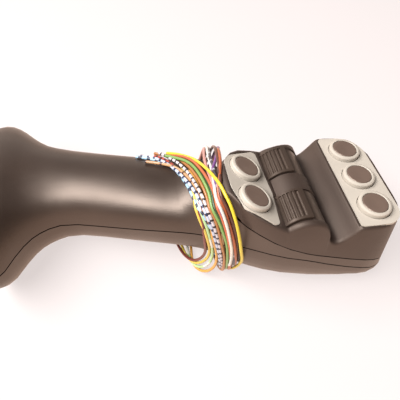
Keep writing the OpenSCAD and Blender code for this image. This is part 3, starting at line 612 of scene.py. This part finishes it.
def layLeads(h):
    tree = tubeTree()
    lines, partings = zip(*(leadRoute(lane, own, h) for lane, own in leadWays.values()))
    spreadLeads(lines, partings, spread)
    for name, line in zip(leadWays, lines):
        route = [mm(*p) for p in smoothRoute(line, h["step"])]
        o = lineObject(name, route)
        tube = o.modifiers.new("tube", "NODES")
        tube.node_group = tree
        setInput(tube, "Radius", h["diameter"] / 2 * 0.001)
        setInput(tube, "Sides", h["sides"])
        setInput(tube, "Insulation", leadFinish(name, h, *leadLooks[name]))
        piece = bakeModifier(o, name)
        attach(piece, "grip")
        if name == "leadYellow":
            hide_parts("harness_run", "harness_coil", "harness_tails")


layLeads(harness)
print("leads laid:", len(leadWays))


# the finishes, by the names of the record's slots
finishes = {
    "shell": {"colour": (0.02, 0.0125, 0.0095), "rough": 0.42, "roughSpan": 0.04, "grain": 0.5,
              "grainScale": 2200.0, "spec": 0.75, "tint": (1.0, 0.82, 0.70), "paintedSeamShade": True},
    "cover": {"colour": (0.022, 0.0135, 0.0105), "rough": 0.57, "roughSpan": 0.04, "grain": 0.5,
              "grainScale": 2200.0, "spec": 0.7, "tint": (1.0, 0.82, 0.70), "paintedSeamShade": True},
    "plate": {"colour": (0.36, 0.32, 0.272), "rough": 0.5, "cloud": 0.03, "grain": 0.3,
              "grainScale": 1800.0, "spec": 0.4},
    "bezel": {"colour": (0.35, 0.31, 0.262), "rough": 0.46, "cloud": 0.03, "grain": 0.15, "spec": 0.4},
    "cap": {"colour": (0.10, 0.068, 0.053), "rough": 0.38, "grain": 0.35, "grainScale": 2600.0,
            "tint": (1.0, 0.82, 0.70)},
    "roller": {"colour": (0.03, 0.02, 0.015), "rough": 0.34, "grain": 0.25, "spec": 0.7,
               "tint": (1.0, 0.82, 0.70)},
    "frame": {"colour": (0.02, 0.02, 0.022), "rough": 0.5, "grain": 0.3},
    "switch": {"colour": (0.015, 0.015, 0.017), "rough": 0.45, "grain": 0.3},
    "chip": {"colour": (0.012, 0.012, 0.013), "rough": 0.5, "grain": 0.3},
    "socket": {"colour": (0.72, 0.68, 0.55), "rough": 0.4, "grain": 0.1},
    "board": {"colour": (0.012, 0.10, 0.045), "rough": 0.3, "grain": 0.2},
    "grommet": {"colour": (0.012, 0.012, 0.012), "rough": 0.65, "grain": 0.4},
    "clamp": {"colour": (0.68, 0.68, 0.64), "rough": 0.4, "grain": 0.1},
    "steel": {"colour": (0.58, 0.58, 0.58), "rough": 0.3, "metal": 1.0, "grain": 0.15},
    "black_steel": {"colour": (0.03, 0.03, 0.032), "rough": 0.4, "metal": 0.6, "grain": 0.15},
    "spring_steel": {"colour": (0.6, 0.6, 0.57), "rough": 0.22, "metal": 1.0, "grain": 0.1},
    "magnet": {"colour": (0.62, 0.62, 0.64), "rough": 0.12, "metal": 1.0, "grain": 0.05},
    "nut": {"colour": (0.55, 0.55, 0.54), "rough": 0.28, "metal": 1.0, "grain": 0.1},
    "contact": {"colour": (0.62, 0.50, 0.26), "rough": 0.3, "metal": 1.0, "grain": 0.1},
    "sleeve": {"colour": (0.62, 0.62, 0.64), "rough": 0.32, "metal": 1.0, "grain": 0.3,
               "stretch": (8, 1, 1), "grainScale": 900.0},
    "lead": {"colour": (0.7, 0.4, 0.1), "rough": 0.35, "grain": 0.1},
}
materials = {name: makeFinish(name, look) for name, look in finishes.items()}
for part in frame["record"]["subparts"]:
    o = nodes[part["node"]]
    o.data.materials.clear()
    o.data.materials.append(materials[part["material_slot"]])
print("finishes made:", len(materials))


# smooth copies of the moulded shells and cover stand for their faceted solids; points nearer than
# the weld, in metres, become one
weld = 2e-6
# the node, the copy's name, its slot, and the angle in degrees from which an edge stays sharp
housings = (
    ("back_shell", "backHousing", "shell", 24),
    ("front_shell", "frontHousing", "shell", 24),
    ("head_cover", "headHousing", "cover", 38),
)


def smoothCopy(node, name, slotName, angle):
    o = nodes[node]
    mesh = o.data.copy()
    mesh.name = name
    work = bmesh.new()
    work.from_mesh(mesh)
    bmesh.ops.remove_doubles(work, verts=work.verts, dist=weld)
    work.to_mesh(mesh)
    work.free()
    mesh.shade_smooth()
    mesh.set_sharp_from_angle(angle=math.radians(angle))
    # each point's height over the middle of either parting line's gap, for the painted shade along it in
    # the finish
    for line, table in partingLines.items():
        height = mesh.attributes.new(line, "FLOAT", "POINT")
        for v, item in zip(mesh.vertices, height.data):
            p = inGrip(v.co)
            item.value = (p.z - heightAt(table, p.x) - seamGapAndShade["gap"] / 2) * 0.001
    piece = bpy.data.objects.new(name, mesh)
    scene.collection.objects.link(piece)
    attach(piece, o["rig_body"])
    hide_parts(node)


for housing in housings:
    smoothCopy(*housing)
print("housings smoothed:", len(housings))


# a pale sheet that also glows a little, two soft lamps and a room that darkens upwards
studio = {
    "floorSize": 6,
    "floorColour": (0.16, 0.15, 0.148),
    "floorRough": 0.9,
    "floorSpec": 0.1,
    "floorGlow": (0.70, 0.635, 0.62),
    "floorBounce": (1.32, 0.95, 0.75),
    "room": [(0.0, (0.84, 0.68, 0.58)), (0.18, (0.52, 0.43, 0.37)), (0.45, (0.12, 0.10, 0.09)),
             (1.0, (0.03, 0.028, 0.027))],
    "roomStrength": 0.8,
    # name, place, size, power and colour of each lamp, and the spot that they all face
    "aim": (0, 0, 0.02),
    "lamps": [
        ("softOverNeck", (-0.48, -0.13, 0.78), (1.12, 0.36), 31.0, (1.0, 0.985, 0.98)),
        ("softBehind", (-0.10, 1.0, 0.42), (1.6, 0.35), 2.5, (1.0, 0.93, 0.88)),
    ],
}


def makeFloor(s):
    bpy.ops.mesh.primitive_plane_add(size=s["floorSize"])
    floor = bpy.context.object
    floor.name = "floor"
    m = bpy.data.materials.new("floorPaper")
    m.use_nodes = True
    t = m.node_tree
    shader = t.nodes["Principled BSDF"]
    shader.inputs["Base Color"].default_value = (*s["floorColour"], 1)
    shader.inputs["Roughness"].default_value = s["floorRough"]
    shader.inputs["Specular IOR Level"].default_value = s["floorSpec"]
    # it lights the grip from below more warmly than the camera sees
    seen = newNode(t, "ShaderNodeLightPath")
    glow = newNode(t, "ShaderNodeMix", data_type="RGBA")
    glow.inputs["A"].default_value = (*s["floorBounce"], 1)
    glow.inputs["B"].default_value = (*s["floorGlow"], 1)
    t.links.new(seen.outputs["Is Camera Ray"], glow.inputs["Factor"])
    t.links.new(glow.outputs["Result"], shader.inputs["Emission Color"])
    shader.inputs["Emission Strength"].default_value = 1.0
    floor.data.materials.append(m)


def makeRoom(s):
    world = bpy.data.worlds.new("room")
    world.use_nodes = True
    t = world.node_tree
    sky = newNode(t, "ShaderNodeTexCoord")
    part = newNode(t, "ShaderNodeSeparateXYZ")
    ramp = newNode(t, "ShaderNodeValToRGB")
    setStops(ramp, s["room"])
    t.links.new(sky.outputs["Generated"], part.inputs["Vector"])
    t.links.new(part.outputs["Z"], ramp.inputs["Fac"])
    t.links.new(ramp.outputs["Color"], t.nodes["Background"].inputs["Color"])
    t.nodes["Background"].inputs["Strength"].default_value = s["roomStrength"]
    scene.world = world


def hangLamp(name, place, size, power, colour, aim):
    lamp = bpy.data.lights.new(name, "AREA")
    lamp.shape = "RECTANGLE"
    lamp.size, lamp.size_y = size
    lamp.energy = power
    lamp.color = colour
    o = bpy.data.objects.new(name, lamp)
    scene.collection.objects.link(o)
    o.location = place
    o.rotation_mode = "QUATERNION"
    o.rotation_quaternion = (Vector(aim) - Vector(place)).to_track_quat("-Z", "Y")


scene.view_settings.view_transform = "Standard"
makeFloor(studio)
makeRoom(studio)
for lampSettings in studio["lamps"]:
    hangLamp(*lampSettings, studio["aim"])
print("studio set")
